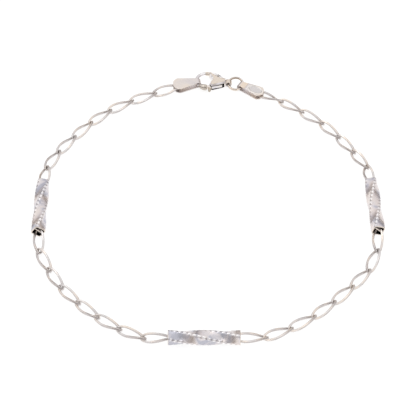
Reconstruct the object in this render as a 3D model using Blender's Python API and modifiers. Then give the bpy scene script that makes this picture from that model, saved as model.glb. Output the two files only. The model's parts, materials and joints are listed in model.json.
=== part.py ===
"""Chain bracelet with three twisted bars, laid in a closed loop on a flat surface.

The loop lies in XY with +Z up. The clasp is at the back (+Y) and one bar is at the front (-Y).
Units are metres. Run it in Blender 4.5, from the text editor or from the command line.
"""

import math

import bmesh
import bpy
from mathutils import Matrix, Vector
import numpy as np

MM = 0.001
DEGREE = math.pi / 180.0
QUARTER = math.pi / 2
EIGHTH = math.pi / 4

# Chain links: long ovals of fine wire, each with a left-handed quarter twist
LINK_PITCH = 4.64 * MM
LINK_WIDTH = 2.00 * MM
LINK_WIRE = 0.40 * MM
LINK_PLAY = 0.24 * MM
LINK_FULLNESS = 2.15
LINK_TWIST = 90.0 * DEGREE
LINK_POINTS = 20
LINK_SIDES = 6

# Links in each stretch of chain, and how far each one is pushed up on the next, as the chain was laid
STRETCHES = {
    "back_left": (8, 0.02 * MM),
    "front_left": (8, 0.14 * MM),
    "front_right": (8, 0.00 * MM),
    "back_right": (7, 0.08 * MM),
}

# The links at a tag turn towards the flat to enter it and so stand higher, and the next ones follow by less
SETTLE_ROLLS = (22.0 * DEGREE, 8.0 * DEGREE)
SETTLE_RISES = (0.18 * MM, 0.07 * MM)

# Bars: hollow twisted square tubes with rounded ridges, open at both ends
BAR_LENGTH = 11.80 * MM
BAR_FLATS = 2.02 * MM
BAR_RIDGE_RADIUS = 0.44 * MM
BAR_WALL = 0.20 * MM
BAR_TWIST = 160.0 * DEGREE
BAR_SECTIONS = 16
BAR_CORNER_STEPS = 3
BAR_ENTRY = 0.80 * MM
BAR_LINK_RISE = 0.22 * MM
POST_WIRE = 0.32 * MM
POST_SIDES = 8

# Angle of a ridge at each bar's middle, from the bar's left side as the loop runs
BAR_ROLLS = {"bar_left": 20.0 * DEGREE, "bar_front": 40.5 * DEGREE, "bar_right": 49.0 * DEGREE}

# End tags: a strip folded over the wire that it hangs on, with the last link on a post between its ends
TAG_LENGTH = 5.20 * MM
TAG_PLATE = 0.20 * MM
TAG_FOLD_OPENING = 0.94 * MM
TAG_MOUTH_OPENING = 0.74 * MM
TAG_FOLD_WIDTH = 1.30 * MM
TAG_POST_EDGE = 0.65 * MM
TAG_END_WIDTHS = {"end_tag_left": 2.90 * MM, "end_tag_right": 2.45 * MM}
TAG_PLAY = 0.04 * MM
TAG_END_ROUNDING = 0.8
TAG_FOLD_STEPS = 8
TAG_END_STEPS = 8
PANEL_LENGTH = 2.60 * MM
PANEL_WIDTH = 1.50 * MM
PANEL_DEPTH = 0.08 * MM
PANEL_EDGE = 0.35 * MM
PANEL_STEPS = 16

# Jump ring between the clasp's eye and the right tag
RING_OUTER = 3.10 * MM
RING_WIRE = 0.42 * MM
RING_TILT = 13.0 * DEGREE
RING_STEPS = 28
RING_SIDES = 8

# Clasp: a hooked body with an eye, and a lever that closes the hook
CLASP_SPAN = 5.95 * MM
CLASP_HALF_WIDTH = 2.25 * MM
CLASP_THICKNESS = 1.60 * MM
CLASP_CHAMFER = 0.40 * MM
CLASP_SIDES = 8
CHAMFER_LIMIT = 60.0 * DEGREE
HOOK_BEND = 1.85 * MM
HOOK_RISE = 0.30 * MM
HOOK_SEAT_WIRE = 0.58 * MM
HOOK_ROOT_WIRE = 0.74 * MM
HOOK_ROOT_DEPTH = 0.395 * MM
HOOK_STEPS = 14
EYE_WIDTH = 0.90 * MM
EYE_HOLE = 0.88 * MM
EYE_WALL = 0.20 * MM
EYE_SIDES = 14
LEVER_THICKNESS = 0.60 * MM
LEVER_CLEARANCE = 0.13 * MM
LEVER_TIP_WIRE = 0.62 * MM
LEVER_GRIP_WIRE = 1.10 * MM
LEVER_TAIL_RADIUS = 0.46 * MM
LEVER_PIN = 0.36 * MM
LEVER_STEPS = 9
SLOT_END = 0.30 * MM
LEVER_PIN_SIDES = 10
THUMB_REACH = 1.06 * MM
THUMB_FOOT_WIRE = 0.70 * MM
THUMB_TIP_WIRE = 0.42 * MM
THUMB_LEAN = -97.0 * DEGREE
PLAY = 0.10 * MM

# Turns along the hook's arc, from its farthest point from the eye, upwards in plan
HOOK_SEAT_TURN = 25.0 * DEGREE
HOOK_TIP_TURN = -47.0 * DEGREE
GRIP_FULL_TURN = -85.0 * DEGREE
GRIP_END_TURN = -100.0 * DEGREE

# Plan of the clasp, as shares of its span (along) and of its half width (across)
BODY_OUTLINE = (
    (0.361, 1.000),
    (0.361, 0.620),
    (0.435, 0.480),
    (0.475, 0.240),
    (0.479, -0.020),
    (0.450, -0.240),
    (0.430, -0.390),
    (0.505, -0.735),
    (0.852, -0.340),
    (0.930, -0.200),
    (0.930, 0.200),
    (0.891, 0.360),
    (0.733, 0.680),
    (0.594, 0.920),
    (0.475, 1.015),
)
LEVER_PIVOT = (0.753, -0.244)
TAIL_ROOT_INNER = (0.345, -0.530)
TAIL_SHOULDER = (0.485, -0.475)
TAIL_ROOT_OUTER = (0.330, -0.867)
TAIL_STEPS = 8
THUMB_FOOT = (0.462, -0.711)

# Route of the loop on the surface in mm, from the hook round by the left, the front and the right
ROUTE_MM = (
    (-0.28, 31.74),
    (-5.55, 30.40),
    (-9.95, 28.27),
    (-14.19, 26.34),
    (-18.04, 23.87),
    (-21.39, 20.58),
    (-26.69, 13.20),
    (-28.57, 8.74),
    (-28.85, 4.40),
    (-28.95, -7.00),
    (-28.45, -11.33),
    (-26.42, -15.31),
    (-24.04, -19.24),
    (-17.82, -25.45),
    (-10.28, -29.84),
    (-6.00, -30.10),
    (5.50, -30.10),
    (9.52, -29.58),
    (17.16, -25.19),
    (23.85, -18.73),
    (26.96, -14.99),
    (28.69, -10.60),
    (29.05, -6.50),
    (28.50, 5.00),
    (28.05, 9.20),
    (26.10, 12.95),
    (20.81, 20.40),
    (13.74, 25.96),
    (9.40, 28.50),
    (5.13, 30.88),
)
ROUTE_SAMPLES = 30
HALVINGS = 50
LAYOUT_SCALES = (0.5 * MM, 2.0 * MM)

WHITE_METAL = (0.78, 0.75, 0.73, 1.0)
WIRE_ROUGHNESS = 0.22
BAR_ROUGHNESS = 0.25
TAG_ROUGHNESS = 0.30
CAST_ROUGHNESS = 0.20

WELD_DISTANCE = 0.001 * MM
MERGE_DISTANCE = 0.0001 * MM


# Derived sizes
TAG_OUTER = TAG_FOLD_OPENING / 2 + TAG_PLATE
TAG_END_OUTER = TAG_MOUTH_OPENING / 2 + TAG_PLATE
BAR_HEIGHT = (BAR_FLATS / 2 - BAR_RIDGE_RADIUS) * math.sqrt(2.0) + BAR_RIDGE_RADIUS
BACK_HEIGHT = max(CLASP_THICKNESS, LEVER_GRIP_WIRE) / 2
RING_BEND = (RING_OUTER - RING_WIRE) / 2
LINK_HALF_LENGTH = (LINK_PITCH + LINK_WIRE + LINK_PLAY) / 2
LINK_HALF_WIDTH = (LINK_WIDTH - LINK_WIRE) / 2


def link_centre_line():
    """Points round a link: a full ellipse, turned about its length in proportion to the place along it."""
    power = 2.0 / LINK_FULLNESS
    turns = np.linspace(0.0, 2.0 * math.pi, LINK_POINTS, endpoint=False)
    along = np.sign(np.cos(turns)) * np.abs(np.cos(turns)) ** power
    across = LINK_HALF_WIDTH * np.sign(np.sin(turns)) * np.abs(np.sin(turns)) ** power
    angle = -along * LINK_TWIST / 2
    return np.stack((along * LINK_HALF_LENGTH, across * np.cos(angle), across * np.sin(angle)), axis=1)


def link_height():
    """Height of a link's own axis over the surface when its lowest point rests there."""
    return float(np.abs(link_centre_line()[:, 2]).max()) + LINK_WIRE / 2


def square_radius(half_flats, ridge_radius, angle):
    """Distance from a rounded square's middle to its outline, at an angle from a flat's normal."""
    folded = abs((angle + EIGHTH) % QUARTER - EIGHTH)
    corner = half_flats - ridge_radius
    if math.tan(folded) * half_flats <= corner:
        return half_flats / math.cos(folded)
    reach = corner * (math.cos(folded) + math.sin(folded))
    return reach + math.sqrt(reach ** 2 - 2.0 * corner ** 2 + ridge_radius ** 2)


def wire_seat(opening, wire, bend, width, tilt):
    """How far a bent wire's middle lies from the middle of a round opening, towards the wall it bears on."""
    reach = (opening - wire) / 2 - PLAY
    lift = width / 2 * math.sin(tilt)
    sag = bend - math.sqrt(bend ** 2 - (width / 2) ** 2)
    return math.sqrt(max(reach ** 2 - lift ** 2, 0.0)) - sag


def eye_seat():
    return wire_seat(EYE_HOLE, RING_WIRE, RING_BEND, EYE_WIDTH, RING_TILT)


def tag_post_place():
    """Distance from the middle of a tag's fold to its post."""
    return TAG_LENGTH - TAG_OUTER - TAG_POST_EDGE


def tag_seat(name):
    """How far the wire in a tag's fold lies beyond the fold's middle."""
    if name == "end_tag_left":
        return wire_seat(TAG_FOLD_OPENING, HOOK_SEAT_WIRE, HOOK_BEND, TAG_FOLD_WIDTH, 0.0)
    return wire_seat(TAG_FOLD_OPENING, RING_WIRE, RING_BEND, TAG_FOLD_WIDTH, RING_TILT)


def post_from_tip():
    """Distance from the tip of a link's centre line to the post that the tip goes round."""
    return (LINK_WIRE + POST_WIRE) / 2 + PLAY


def station_from_tip():
    """Distance from the tip of a link's centre line to the crossing with the next link."""
    return (LINK_WIRE + LINK_PLAY) / 2


def closed_curve(points, samples):
    """Points on a smooth closed curve through the given ones (Catmull-Rom)."""
    given = np.asarray(points, dtype=float)
    before, after, beyond = (np.roll(given, shift, axis=0) for shift in (1, -1, -2))
    pieces = []
    for step in range(samples):
        t = step / samples
        pieces.append(0.5 * (
            2.0 * given
            + (after - before) * t
            + (2.0 * before - 5.0 * given + 4.0 * after - beyond) * t ** 2
            + (3.0 * given - before - 3.0 * after + beyond) * t ** 3
        ))
    return np.stack(pieces, axis=1).reshape(-1, given.shape[1])


def chain_plan():
    """Rows of (piece, chord length, height of its end), from the middle of the hook's arc round to it again."""
    low = link_height()
    tag_low = max(TAG_END_OUTER + TAG_PLAY, low)
    back = station_from_tip() - post_from_tip()
    bar_chord = BAR_LENGTH - 2.0 * (BAR_ENTRY - station_from_tip())
    hold = tag_post_place() + back
    rows = [("end_tag_left", HOOK_BEND + tag_seat("end_tag_left") + hold, tag_low)]
    bars = list(BAR_ROLLS)
    number = 0
    for count, pushed in STRETCHES.values():
        heights = [low] * count
        if number:
            heights[0] += BAR_LINK_RISE
        else:
            heights[:2] = [low + rise for rise in SETTLE_RISES]
        if bars:
            heights[-2:] = [low + BAR_LINK_RISE, BAR_HEIGHT]
        else:
            heights[-3:] = [low + rise for rise in SETTLE_RISES[::-1]] + [tag_low]
        for height in heights:
            number += 1
            rows.append((f"link_{number:02d}", LINK_PITCH - pushed, height))
        if bars:
            rows.append((bars.pop(0), bar_chord, BAR_HEIGHT))
    rows.append(("end_tag_right", RING_BEND + tag_seat("end_tag_right") + hold, BACK_HEIGHT))
    rows.append(("clasp", math.hypot(CLASP_SPAN + RING_BEND - HOOK_BEND, HOOK_RISE), BACK_HEIGHT))
    return rows


def walk(route, rows):
    """Set the chords one after another along the closed route, and return their ends and the share used."""
    closed = np.vstack((route, route[:1]))
    steps = np.linalg.norm(np.diff(closed, axis=0), axis=1)
    lengths = np.concatenate(((0.0,), np.cumsum(steps)))
    total = lengths[-1]

    def place(distance, height):
        turn = distance % total
        x = np.interp(turn, lengths, closed[:, 0])
        y = np.interp(turn, lengths, closed[:, 1])
        return np.array((x, y, height))

    distance = 0.0
    ends = [place(0.0, BACK_HEIGHT)]
    for _, chord, height in rows:
        low, high = distance, distance + 2.0 * chord
        for _ in range(HALVINGS):
            middle = (low + high) / 2
            if np.linalg.norm(place(middle, height) - ends[-1]) < chord:
                low = middle
            else:
                high = middle
        distance = low
        ends.append(place(distance, height))
    return ends, distance / total


def lay_out():
    """Size the route so that the whole chain closes on it, and return each piece's two ends."""
    rows = chain_plan()
    route = closed_curve(ROUTE_MM, ROUTE_SAMPLES)
    small, large = LAYOUT_SCALES
    for _ in range(HALVINGS):
        scale = (small + large) / 2
        ends, used = walk(route * scale, rows)
        if used > 1.0:
            small = scale
        else:
            large = scale
    return {row[0]: (Vector(ends[k]), Vector(ends[k + 1])) for k, row in enumerate(rows)}


def frame_on(origin, towards, roll=0.0):
    """A matrix at the origin with X towards a point, Y level and Z up, turned about X by the roll."""
    x_axis = (towards - origin).normalized()
    y_axis = Vector((0.0, 0.0, 1.0)).cross(x_axis).normalized()
    z_axis = x_axis.cross(y_axis)
    turned = Matrix((x_axis, y_axis, z_axis)).transposed().to_4x4()
    return Matrix.Translation(origin) @ turned @ Matrix.Rotation(roll, 4, "X")


def clear_scene():
    for item in list(bpy.data.objects):
        bpy.data.objects.remove(item, do_unlink=True)


def new_collection(name):
    group = bpy.data.collections.new(name)
    bpy.context.scene.collection.children.link(group)
    return group


def metal(name, roughness):
    material = bpy.data.materials.new(name)
    material.use_nodes = True
    shader = material.node_tree.nodes["Principled BSDF"]
    shader.inputs["Base Color"].default_value = WHITE_METAL
    shader.inputs["Metallic"].default_value = 1.0
    shader.inputs["Roughness"].default_value = roughness
    return material


def add_part(name, data, group, root, material, matrix):
    part = bpy.data.objects.new(name, data)
    group.objects.link(part)
    part.parent = root
    part.matrix_local = matrix
    if not data.materials:
        data.materials.append(material)
    return part


def add_tool(name, mesh, group, part):
    """A shape that cuts or joins a part, in the part's own frame."""
    tool = bpy.data.objects.new(name, mesh)
    group.objects.link(tool)
    tool.parent = part
    tool.hide_render = True
    tool.display_type = "WIRE"
    return tool


def combine(part, tool, operation):
    modifier = part.modifiers.new(tool.name, "BOOLEAN")
    modifier.operation = operation
    modifier.object = tool
    modifier.solver = "EXACT"


def baked_mesh(curve, name):
    """The curve's evaluated mesh with its caps welded; the curve itself is removed."""
    holder = bpy.data.objects.new(name, curve)
    bpy.context.scene.collection.objects.link(holder)
    graph = bpy.context.evaluated_depsgraph_get()
    mesh = bpy.data.meshes.new_from_object(holder.evaluated_get(graph))
    mesh.name = name
    bpy.data.objects.remove(holder, do_unlink=True)
    bpy.data.curves.remove(curve)
    weld(mesh)
    return mesh


def weld(mesh):
    work = bmesh.new()
    work.from_mesh(mesh)
    bmesh.ops.remove_doubles(work, verts=work.verts, dist=WELD_DISTANCE)
    work.to_mesh(mesh)
    work.free()


def wire_curve(name, points, radii, cyclic, sides):
    """A round wire through the points, with a radius at each of them."""
    curve = bpy.data.curves.new(name, "CURVE")
    curve.dimensions = "3D"
    curve.bevel_depth = MM
    curve.bevel_resolution = sides // 2 - 2
    curve.use_fill_caps = not cyclic
    spline = curve.splines.new("POLY")
    spline.points.add(len(points) - 1)
    for row, point, radius in zip(spline.points, points, radii):
        row.co = (*point, 1.0)
        row.radius = radius / MM
    spline.use_cyclic_u = cyclic
    return curve


def rod_mesh(name, points, radii, sides):
    """A round rod through the points."""
    return baked_mesh(wire_curve(name, points, radii, False, sides), name)


def slab_mesh(name, outline, half_thickness):
    """A flat outline in XY with the same thickness above and below it."""
    curve = bpy.data.curves.new(name, "CURVE")
    curve.dimensions = "2D"
    curve.fill_mode = "BOTH"
    curve.extrude = half_thickness
    spline = curve.splines.new("POLY")
    spline.points.add(len(outline) - 1)
    for row, point in zip(spline.points, outline):
        row.co = (point[0], point[1], 0.0, 1.0)
    spline.use_cyclic_u = True
    return baked_mesh(curve, name)


def arc(centre, radius_x, radius_y, start, end, steps):
    """Points of an elliptic arc in a plane."""
    turns = np.linspace(start, end, steps + 1)
    return [(centre[0] + radius_x * math.cos(t), centre[1] + radius_y * math.sin(t)) for t in turns]


def make_links(places, parts, root):
    """One wire shape, shared by all the links."""
    line = link_centre_line()
    curve = wire_curve("link_wire", line, [LINK_WIRE / 2] * len(line), True, LINK_SIDES)
    material = metal("link_metal", WIRE_ROUGHNESS)
    names = [name for name in places if name.startswith("link_")]
    rolls = dict.fromkeys(names, 0.0)
    for k, settle in enumerate(SETTLE_ROLLS):
        rolls[names[k]] = -settle
        rolls[names[-1 - k]] = settle
    for name in names:
        start, end = places[name]
        add_part(name, curve, parts, root, material, frame_on((start + end) / 2, end, rolls[name]))


def square_ring(name):
    """A closed ring of edges: a square whose corners are rounded ridges, one corner on +X."""
    corner = BAR_FLATS / 2 - BAR_RIDGE_RADIUS
    reach = corner * math.sqrt(2.0)
    points = []
    for k in range(4):
        turn = k * QUARTER
        centre = (reach * math.cos(turn), reach * math.sin(turn))
        points += arc(centre, BAR_RIDGE_RADIUS, BAR_RIDGE_RADIUS, turn - EIGHTH, turn + EIGHTH, BAR_CORNER_STEPS)
    count = len(points)
    mesh = bpy.data.meshes.new(name)
    mesh.from_pydata([(x, y, 0.0) for x, y in points], [(k, (k + 1) % count) for k in range(count)], [])
    return mesh


def make_bar(name, places, parts, tools, root):
    """A twisted tube along its own Z, with a cross post in each end for the link there."""
    start, end = places[name]
    along = frame_on((start + end) / 2, end) @ Matrix.Rotation(QUARTER, 4, "Y") @ Matrix.Rotation(QUARTER, 4, "Z")
    base = Matrix.Translation((0.0, 0.0, -BAR_LENGTH / 2))
    first = BAR_ROLLS[name] - BAR_TWIST / 2
    bar = add_part(name, square_ring(name), parts, root, metal(name + "_metal", BAR_ROUGHNESS),
                   along @ base @ Matrix.Rotation(first, 4, "Z"))
    screw = bar.modifiers.new("twist", "SCREW")
    screw.axis = "Z"
    screw.angle = BAR_TWIST
    screw.screw_offset = BAR_LENGTH
    screw.steps = BAR_SECTIONS
    screw.render_steps = BAR_SECTIONS
    screw.use_merge_vertices = False
    screw.merge_threshold = MERGE_DISTANCE
    screw.use_normal_calculate = True
    screw.use_normal_flip = True
    wall = bar.modifiers.new("wall", "SOLIDIFY")
    wall.thickness = BAR_WALL
    wall.offset = -1.0
    wall.use_even_offset = True
    depth = BAR_ENTRY - post_from_tip()
    for label, height, lean in (("near", depth, EIGHTH), ("far", BAR_LENGTH - depth, -EIGHTH)):
        section = first + BAR_TWIST * height / BAR_LENGTH
        from_flat = lean - section - EIGHTH
        outer = square_radius(BAR_FLATS / 2, BAR_RIDGE_RADIUS, from_flat)
        inner = square_radius(BAR_FLATS / 2 - BAR_WALL, BAR_RIDGE_RADIUS - BAR_WALL, from_flat)
        reach = (outer + inner) / 2
        tip = (reach * math.cos(lean - first), reach * math.sin(lean - first), height)
        tail = (-tip[0], -tip[1], height)
        post_name = f"{name}_post_{label}"
        post = rod_mesh(post_name, (tail, tip), [POST_WIRE / 2] * 2, POST_SIDES)
        combine(bar, add_tool(post_name, post, tools, bar), "UNION")


def ring_frame(places):
    """The jump ring lies on the line to the hook, with its far side lifted."""
    ring_at, hook_at = places["clasp"]
    return frame_on(ring_at, hook_at, -RING_TILT)


def tag_frame(name, places):
    """A tag's frame: the middle of its fold, with X towards its post."""
    start, end = places[name]
    wire_middle, station, bend = (start, end, HOOK_BEND) if name == "end_tag_left" else (end, start, RING_BEND)
    run = station - wire_middle
    fold_at = wire_middle + run.normalized() * (bend + tag_seat(name))
    if name == "end_tag_right":
        ring = ring_frame(places)
        contact = ring.inverted() @ station
        contact.z = 0.0
        fold_at.z = max((ring @ (contact.normalized() * RING_BEND)).z, TAG_OUTER)
    return frame_on(fold_at, station)


def make_tag(name, places, parts, tools, root):
    """A strip folded to a U on its side, trimmed to a tapered plan, with a post across its open end."""
    far = TAG_LENGTH - TAG_OUTER
    half_fold = TAG_FOLD_OPENING / 2
    half_mouth = TAG_MOUTH_OPENING / 2
    outline = [(far, TAG_END_OUTER)]
    outline += arc((0.0, 0.0), TAG_OUTER, TAG_OUTER, QUARTER, 3.0 * QUARTER, TAG_FOLD_STEPS)
    outline += [(far, -TAG_END_OUTER), (far, -half_mouth)]
    outline += arc((0.0, 0.0), half_fold, half_fold, 3.0 * QUARTER, QUARTER, TAG_FOLD_STEPS)
    outline += [(far, half_mouth)]
    strip = slab_mesh(name, outline, TAG_END_WIDTHS[name])
    strip.transform(Matrix.Rotation(QUARTER, 4, "X"))
    tag = add_part(name, strip, parts, root, metal(name + "_metal", TAG_ROUGHNESS), tag_frame(name, places))

    half_width = TAG_FOLD_WIDTH / 2
    half_end = TAG_END_WIDTHS[name] / 2
    rounding = TAG_END_ROUNDING * half_end
    plan = [(-TAG_LENGTH, -half_width), (0.0, -half_width)]
    plan += arc((far - rounding, 0.0), rounding, half_end, -QUARTER, QUARTER, TAG_END_STEPS)
    plan += [(0.0, half_width), (-TAG_LENGTH, half_width)]
    trim = add_tool(name + "_plan", slab_mesh(name + "_plan", plan, TAG_LENGTH), tools, tag)
    combine(tag, trim, "INTERSECT")

    if name == "end_tag_right":
        drop = (TAG_OUTER - TAG_END_OUTER) / far
        panel_x = far - PANEL_EDGE - PANEL_LENGTH / 2
        oval = arc((0.0, 0.0), PANEL_LENGTH / 2, PANEL_WIDTH / 2, 0.0, 4.0 * QUARTER, PANEL_STEPS)[:-1]
        panel = slab_mesh(name + "_panel", oval, PANEL_DEPTH)
        panel.transform(Matrix.Translation((panel_x, 0.0, TAG_OUTER - drop * panel_x))
                        @ Matrix.Rotation(math.atan(drop), 4, "Y"))
        combine(tag, add_tool(name + "_panel", panel, tools, tag), "DIFFERENCE")

    place = tag_post_place()
    reach = (half_mouth + TAG_END_OUTER) / 2
    post = rod_mesh(name + "_post", ((place, 0.0, -reach), (place, 0.0, reach)), [POST_WIRE / 2] * 2, POST_SIDES)
    combine(tag, add_tool(name + "_post", post, tools, tag), "UNION")


def make_ring(places, parts, root):
    """The jump ring, nearly flat."""
    bpy.ops.mesh.primitive_torus_add(
        major_radius=RING_BEND, minor_radius=RING_WIRE / 2, major_segments=RING_STEPS, minor_segments=RING_SIDES)
    made = bpy.context.object
    mesh = made.data
    mesh.name = "jump_ring"
    bpy.data.objects.remove(made, do_unlink=True)
    mesh.shade_smooth()
    add_part("jump_ring", mesh, parts, root, metal("ring_metal", CAST_ROUGHNESS), ring_frame(places))


def clasp_point(shares):
    """A point of the clasp's plan from its shares."""
    return (shares[0] * CLASP_SPAN, shares[1] * CLASP_HALF_WIDTH)


def clasp_frame(places):
    """The clasp's frame: X from the hook's far side to the ring's middle."""
    ring_at, hook_at = places["clasp"]
    turn = math.atan2(HOOK_RISE, CLASP_SPAN + RING_BEND - HOOK_BEND)
    to_bend = Matrix.Translation((-HOOK_BEND, -HOOK_RISE, 0.0))
    return frame_on(hook_at, ring_at) @ Matrix.Rotation(turn, 4, "Z") @ to_bend


def hook_point(turn):
    """A point of the hook's arc, by its turn from the arc's far side."""
    return (HOOK_BEND * (1.0 - math.cos(turn)), HOOK_RISE + HOOK_BEND * math.sin(turn), 0.0)


def hook_root_turn():
    """Turn at which the hook has reached its depth in the body."""
    reach = clasp_point(BODY_OUTLINE[0])[0] + HOOK_ROOT_DEPTH
    return math.acos(1.0 - reach / HOOK_BEND)


def tangent_turn(centre, radius, point, side):
    """Turn about a circle's centre to where the line from a point touches it, on its left or right."""
    across = math.atan2(centre[1] - point[1], centre[0] - point[0])
    half = math.asin(radius / math.dist(centre, point))
    return across + side * (half + QUARTER)


def tail_outline():
    """Plan of the lever's tail: from the grip to a round end about its pin."""
    pivot = clasp_point(LEVER_PIVOT)
    outer = clasp_point(TAIL_ROOT_OUTER)
    shoulder = clasp_point(TAIL_SHOULDER)
    first = tangent_turn(pivot, LEVER_TAIL_RADIUS, outer, -1.0)
    last = tangent_turn(pivot, LEVER_TAIL_RADIUS, shoulder, 1.0)
    round_end = arc(pivot, LEVER_TAIL_RADIUS, LEVER_TAIL_RADIUS, first, last, TAIL_STEPS)
    return [outer] + round_end + [shoulder, clasp_point(TAIL_ROOT_INNER)]


def slot_outline():
    """Plan of the slot in the body: round the tail with a clearance, and open to the lever's side."""
    pivot = clasp_point(LEVER_PIVOT)
    inner = clasp_point(TAIL_ROOT_INNER)
    shoulder = clasp_point(TAIL_SHOULDER)
    radius = LEVER_TAIL_RADIUS + LEVER_CLEARANCE
    below = -2.0 * CLASP_HALF_WIDTH
    right = pivot[0] + LEVER_TAIL_RADIUS + SLOT_END
    last = tangent_turn(pivot, radius, shoulder, 1.0)
    return [(inner[0], below), (right, below), (right, pivot[1] + radius)] \
        + arc(pivot, radius, radius, QUARTER, last, TAIL_STEPS) \
        + [(shoulder[0], shoulder[1] + LEVER_CLEARANCE), (inner[0], inner[1] + LEVER_CLEARANCE)]


def make_clasp(places, parts, tools, root):
    """The body: a chamfered plate with a hook, an eye for the ring and a slot with the lever's pin."""
    half = CLASP_THICKNESS / 2
    plan = [clasp_point(row) for row in BODY_OUTLINE]
    body = add_part("clasp_body", slab_mesh("clasp_body", plan, half), parts, root,
                    metal("clasp_metal", CAST_ROUGHNESS), clasp_frame(places))
    chamfer = body.modifiers.new("chamfer", "BEVEL")
    chamfer.width = CLASP_CHAMFER
    chamfer.segments = 1
    chamfer.limit_method = "ANGLE"
    chamfer.angle_limit = CHAMFER_LIMIT

    turns = np.linspace(hook_root_turn(), HOOK_TIP_TURN, HOOK_STEPS + 1)
    growth = np.clip((turns - HOOK_SEAT_TURN) / (QUARTER - HOOK_SEAT_TURN), 0.0, 1.0)
    radii = (HOOK_SEAT_WIRE + (HOOK_ROOT_WIRE - HOOK_SEAT_WIRE) * growth) / 2
    hook = rod_mesh("clasp_hook", [hook_point(turn) for turn in turns], radii, CLASP_SIDES)
    combine(body, add_tool("clasp_hook", hook, tools, body), "UNION")

    hole_x = CLASP_SPAN - eye_seat()
    for name, half_width, radius, operation in (
            ("eye", EYE_WIDTH / 2, EYE_HOLE / 2 + EYE_WALL, "UNION"),
            ("eye_bore", CLASP_HALF_WIDTH, EYE_HOLE / 2, "DIFFERENCE")):
        ends = ((hole_x, -half_width, 0.0), (hole_x, half_width, 0.0))
        combine(body, add_tool(name, rod_mesh(name, ends, [radius] * 2, EYE_SIDES), tools, body), operation)

    half_slot = LEVER_THICKNESS / 2 + LEVER_CLEARANCE
    slot = slab_mesh("lever_slot", slot_outline(), half_slot)
    combine(body, add_tool("lever_slot", slot, tools, body), "DIFFERENCE")
    pivot = clasp_point(LEVER_PIVOT)
    inside = (half + half_slot) / 2
    pin = rod_mesh("lever_pin", ((*pivot, -inside), (*pivot, inside)), [LEVER_PIN / 2] * 2, LEVER_PIN_SIDES)
    combine(body, add_tool("lever_pin", pin, tools, body), "UNION")


def make_lever(places, parts, tools, root):
    """The lever, with its origin on the pin: tail plate, round grip and thumb piece."""
    pivot = clasp_point(LEVER_PIVOT)
    to_pin = Matrix.Translation((-pivot[0], -pivot[1], 0.0))
    tail = slab_mesh("clasp_lever", tail_outline(), LEVER_THICKNESS / 2)
    tail.transform(to_pin)
    lever = add_part("clasp_lever", tail, parts, root, metal("lever_metal", CAST_ROUGHNESS),
                     clasp_frame(places) @ Matrix.Translation((*pivot, 0.0)))

    first = HOOK_TIP_TURN - PLAY / HOOK_BEND
    turns = np.linspace(first, GRIP_END_TURN, LEVER_STEPS + 1)
    growth = np.clip((turns - first) / (GRIP_FULL_TURN - first), 0.0, 1.0)
    radii = (LEVER_TIP_WIRE + (LEVER_GRIP_WIRE - LEVER_TIP_WIRE) * np.sin(growth * QUARTER)) / 2
    grip = rod_mesh("lever_grip", [hook_point(turn) for turn in turns], radii, CLASP_SIDES)

    foot = clasp_point(THUMB_FOOT)
    tip = (foot[0] + THUMB_REACH * math.cos(THUMB_LEAN), foot[1] + THUMB_REACH * math.sin(THUMB_LEAN))
    thumb = rod_mesh("lever_thumb", ((*foot, 0.0), (*tip, 0.0)), (THUMB_FOOT_WIRE / 2, THUMB_TIP_WIRE / 2),
                     CLASP_SIDES)
    for mesh in (grip, thumb):
        mesh.transform(to_pin)
        combine(lever, add_tool(mesh.name, mesh, tools, lever), "UNION")

    ends = ((0.0, 0.0, -LEVER_THICKNESS), (0.0, 0.0, LEVER_THICKNESS))
    hole = rod_mesh("lever_hole", ends, [LEVER_PIN / 2 + PLAY] * 2, LEVER_PIN_SIDES)
    combine(lever, add_tool("lever_hole", hole, tools, lever), "DIFFERENCE")


def rest_on_surface(parts, root):
    """Move the root so that the loop's box is centred on the origin and stands at height zero."""
    bpy.context.view_layer.update()
    graph = bpy.context.evaluated_depsgraph_get()
    lows, highs = [], []
    for part in parts.objects:
        if part.type == "EMPTY":
            continue
        evaluated = part.evaluated_get(graph)
        mesh = evaluated.to_mesh()
        corners = np.array([evaluated.matrix_world @ vertex.co for vertex in mesh.vertices])
        lows.append(corners.min(axis=0))
        highs.append(corners.max(axis=0))
        evaluated.to_mesh_clear()
    low = np.min(lows, axis=0)
    high = np.max(highs, axis=0)
    root.location = (-(low[0] + high[0]) / 2, -(low[1] + high[1]) / 2, -low[2])


def main():
    clear_scene()
    parts = new_collection("chain_bracelet")
    tools = new_collection("cutting_and_joining_shapes")
    root = bpy.data.objects.new("chain_bracelet", None)
    parts.objects.link(root)
    places = lay_out()
    make_links(places, parts, root)
    for name in BAR_ROLLS:
        make_bar(name, places, parts, tools, root)
    for name in TAG_END_WIDTHS:
        make_tag(name, places, parts, tools, root)
    make_ring(places, parts, root)
    make_clasp(places, parts, tools, root)
    make_lever(places, parts, tools, root)
    rest_on_surface(parts, root)


main()
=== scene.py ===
import json
import math

import bpy
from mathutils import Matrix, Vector
import numpy as np


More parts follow.
